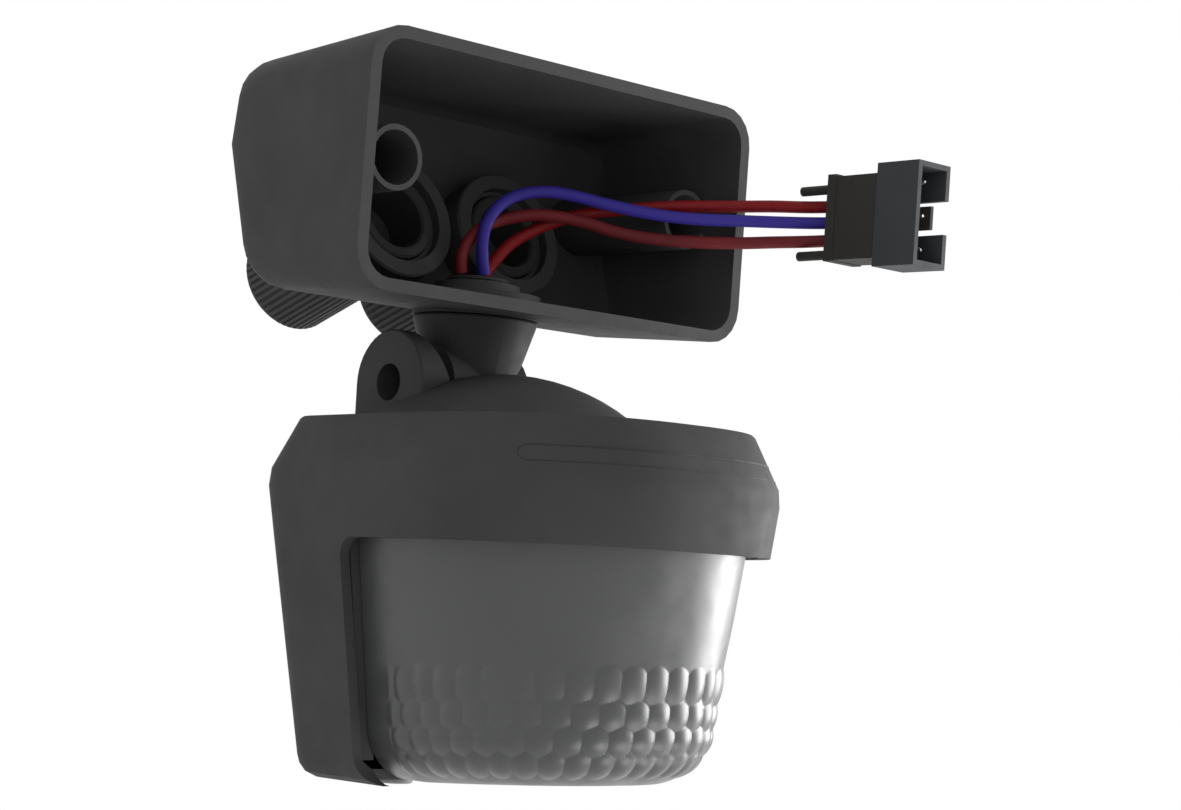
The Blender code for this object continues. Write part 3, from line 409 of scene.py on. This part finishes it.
def add_lens():
    shares, length = even_shares(LENS_COLUMNS, LENS_INSET + 5.0 * MM)
    section = lens_section()
    inner_section = section[::6] + [section[-1]]
    mesh_data = bmesh.new()
    columns = [(0.0, LENS_REAR)] + [(share, None) for share in shares] + [(1.0, LENS_REAR)]
    outer = []
    inner = []
    for column, (share, rear) in enumerate(columns):
        along = (column - 1) / LENS_COLUMNS * length
        fade = min(1.0, max(0.0, along / FACET_FADE), max(0.0, (length - along) / FACET_FADE))
        row = []
        for point in section:
            height = facet_height(along, point[1]) * fade if point[1] < FACETS_BELOW else 0.0
            row.append(mesh_data.verts.new(lens_point(share, point, height, rear)))
        outer.append(row)
        inner.append([mesh_data.verts.new(lens_point(share, p, -LENS_WALL, rear)) for p in inner_section])
    for rows in (outer, inner):
        for first, second in zip(rows, rows[1:]):
            for index in range(len(first) - 1):
                mesh_data.faces.new((first[index], first[index + 1], second[index + 1], second[index]))
    for edge in (0, -1):
        for index in range(len(outer) - 1):
            first, second = outer[index], outer[index + 1]
            mesh_data.faces.new((first[edge], second[edge], inner[index + 1][edge], inner[index][edge]))
    for column in (0, -1):
        mesh_data.faces.new(outer[column] + inner[column][::-1])
    lens = add_piece("faceted_lens", mesh_data, "lens_plastic", "head", HEAD_PLACE, 16.0)
    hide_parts("lens")


add_lens()


# Brow groove: painted shadow, a fine dark line with round ends along the front's chamfer where the shallow
# slot's rim lies in shade ----

GROOVE_TOP = -15.2 * MM
GROOVE_BOTTOM = -18.4 * MM
GROOVE_END_SHARE = 0.235
GROOVE_END_ROUNDING = 0.018
# Width of the painted shadow line along the slot's top edge; the bottom line is half as wide
GROOVE_SHADOW_LINE = 0.32 * MM
GROOVE_PROUD = 0.06 * MM
GROOVE_SUNK = 0.3 * MM
GROOVE_STEPS = 90
GROOVE_END_STEPS = 12
CHAMFER_TOP = -9.2 * MM
CHAMFER_BOTTOM = -20.0 * MM
CHAMFER_INSET = (4.7 * MM, 0.45 * MM)
CHAMFER_SET_BACK = 1.4 * MM


def chamfer_point(share, z, lift):
    """A point on the chamfered front of the head, lifted a little off its surface."""
    rise = (z - CHAMFER_BOTTOM) / (CHAMFER_TOP - CHAMFER_BOTTOM)
    inset = CHAMFER_INSET[1] + (CHAMFER_INSET[0] - CHAMFER_INSET[1]) * rise
    x, y = head_front(inset, share)
    x2, y2 = head_front(inset + OFFSET_STEP, share)
    outward = Vector((x - x2, y - y2, 0.2 * MM)).normalized()
    front = max(0.0, HEAD_FRONT_CENTRE - y) / HEAD_FRONT_DEPTH
    return Vector((x, y + CHAMFER_SET_BACK * rise * front, z)) + outward * lift


def add_painted_shadow_brow_line():
    """The slot's rim as one fine dark line of painted shadow, where its edges lie in shade: along the top,
    round the end, and back along the bottom.
    """
    radius = (GROOVE_TOP - GROOVE_BOTTOM) / 2
    middle = (GROOVE_TOP + GROOVE_BOTTOM) / 2
    route = []
    halves = ((GROOVE_END_SHARE, GROOVE_TOP, 0.5), (1 - GROOVE_END_SHARE, GROOVE_BOTTOM, -0.5))
    for start, z, first_angle in halves:
        for step in range(GROOVE_STEPS + 1):
            route.append((start + (1 - 2 * start) * step / GROOVE_STEPS, z))
        for step in range(1, GROOVE_END_STEPS):
            angle = math.pi * (first_angle - step / GROOVE_END_STEPS)
            end = 1 - start + GROOVE_END_ROUNDING * math.cos(angle)
            route.append((end, middle + radius * math.sin(angle)))
    mesh_data = bmesh.new()
    rings = []
    for share, z in route:
        at = chamfer_point(share, z, 0.0)
        out = (chamfer_point(share, z, 1.0 * MM) - at).normalized()
        width = GROOVE_SHADOW_LINE if z > middle else GROOVE_SHADOW_LINE * 0.5
        side = Vector((0.0, 0.0, width / 2))
        rings.append([at + out * GROOVE_PROUD + side, at + out * GROOVE_PROUD - side, at - out * GROOVE_SUNK])
    loft(rings, True, mesh_data)
    # The dark strip is painted shadow: no slot is cut, and the strip stands just proud of the chamfer where
    # the slot's edges fall into shade
    add_piece("painted_shadow_brow_line", mesh_data, "rubber", "head", HEAD_PLACE)


add_painted_shadow_brow_line()


# Gland caps ----------------------------------------------------------------------------------------

CAP_RADIUS = 12.2 * MM
CAP_START = 10.9 * MM
CAP_END = 43.2 * MM
CAP_RIBS = 50
CAP_RIB_DEPTH = 0.5 * MM
STEPS_PER_RIB = 8
VALLEY_SHARE = 0.26


def rib_radius(radius, step, depth):
    """Raised ribs with narrow valleys between them."""
    share = (step % STEPS_PER_RIB) / STEPS_PER_RIB
    return radius - (depth if share < VALLEY_SHARE else 0.0)


def add_gland_cap(side):
    count = CAP_RIBS * STEPS_PER_RIB
    profile = (
        (CAP_RADIUS - 0.9 * MM, CAP_START, 0.0), (CAP_RADIUS - 0.3 * MM, CAP_START + 0.3 * MM, 0.0),
        (CAP_RADIUS, CAP_START + 2.0 * MM, 0.0), (CAP_RADIUS, CAP_START + 2.4 * MM, CAP_RIB_DEPTH),
        (CAP_RADIUS, CAP_END - 1.4 * MM, CAP_RIB_DEPTH),
        (CAP_RADIUS - 0.25 * MM, CAP_END - 0.8 * MM, 0.3 * MM),
        (CAP_RADIUS - 0.7 * MM, CAP_END - 0.25 * MM, 0.0), (CAP_RADIUS - 1.4 * MM, CAP_END, 0.0),
        (7.2 * MM, CAP_END, 0.0), (6.6 * MM, CAP_END - 0.5 * MM, 0.0), (6.5 * MM, CAP_END - 3.0 * MM, 0.0),
        (9.8 * MM, CAP_END - 3.0 * MM, 0.0), (9.8 * MM, CAP_START, 0.0),
    )
    rings = []
    for radius, height, depth in profile:
        ring = []
        for step in range(count):
            angle = 2 * math.pi * step / count
            there = rib_radius(radius, step, depth)
            ring.append((there * math.cos(angle), there * math.sin(angle), height))
        rings.append(ring)
    place = Matrix.Translation(GLAND_MOUTHS[side]) @ Matrix.Rotation(-math.pi / 2 - GLAND_DROOP, 4, "X")
    body = f"gland_cap_{side}_body"
    cap = add_piece(f"ribbed_cap_{side}", loft(rings, True), "housing_plastic", body, place, 30.0)
    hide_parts(f"gland_cap_{side}")


for gland_side in GLAND_MOUTHS:
    add_gland_cap(gland_side)


# Camera, light and background ----------------------------------------------------------------------

CAMERA_LENS = 74.07
CAMERA_SENSOR = 36.0
CAMERA_PLACE = Vector((-0.34492, -0.38920, -0.05109))
CAMERA_RIGHT = Vector((0.73310, -0.67638, 0.07118))
CAMERA_UP = Vector((-0.09342, 0.00352, 0.99562))
CAMERA_FORWARD = Vector((0.67367, 0.73654, 0.06060))

camera_data = bpy.data.cameras.new("camera")
camera_data.lens = CAMERA_LENS
camera_data.sensor_width = CAMERA_SENSOR
camera_data.sensor_fit = "HORIZONTAL"
camera_data.clip_start = 0.01
camera = bpy.data.objects.new("camera", camera_data)
facing = Matrix((CAMERA_RIGHT, CAMERA_UP, -CAMERA_FORWARD)).transposed().to_4x4()
camera.matrix_world = Matrix.Translation(CAMERA_PLACE) @ facing
bpy.context.scene.collection.objects.link(camera)
bpy.context.scene.camera = camera

world = bpy.data.worlds.new("studio")
bpy.context.scene.world = world
world.use_nodes = True
world.node_tree.nodes["Background"].inputs["Color"].default_value = (1.0, 1.0, 1.0, 1.0)
world.node_tree.nodes["Background"].inputs["Strength"].default_value = 1.0
bpy.context.scene.view_settings.view_transform = "Standard"


def add_area_light(name, location, target, size, power):
    data = bpy.data.lights.new(name, "AREA")
    data.shape = "DISK"
    data.size = size
    data.energy = power
    light = bpy.data.objects.new(name, data)
    light.location = location
    light.rotation_euler = (Vector(target) - Vector(location)).to_track_quat("-Z", "Y").to_euler()
    bpy.context.scene.collection.objects.link(light)


add_area_light("right_softbox", (0.75, -0.22, -0.02), (0.0, -0.02, -0.06), 0.55, 9.0)
add_area_light("under_softbox", (0.10, -0.25, -0.33), (0.0, 0.02, 0.0), 0.25, 0.6)

# The floor lies too low and is too small for the photograph's low camera to see
FLOOR_HALF = 1.1
FLOOR_Z = -0.35
FLOOR_CORNERS = ((-1, -1), (1, -1), (1, 1), (-1, 1))
floor_data = bpy.data.meshes.new("floor")
floor_data.from_pydata(
    [(x * FLOOR_HALF, y * FLOOR_HALF, FLOOR_Z) for x, y in FLOOR_CORNERS],
    [],
    [(0, 1, 2, 3)],
)
floor = bpy.data.objects.new("floor", floor_data)
floor_data.materials.append(plastic("floor_paint", (0.80, 0.80, 0.80), 0.8, 0.0, 0.1, variation=0.0))
bpy.context.scene.collection.objects.link(floor)
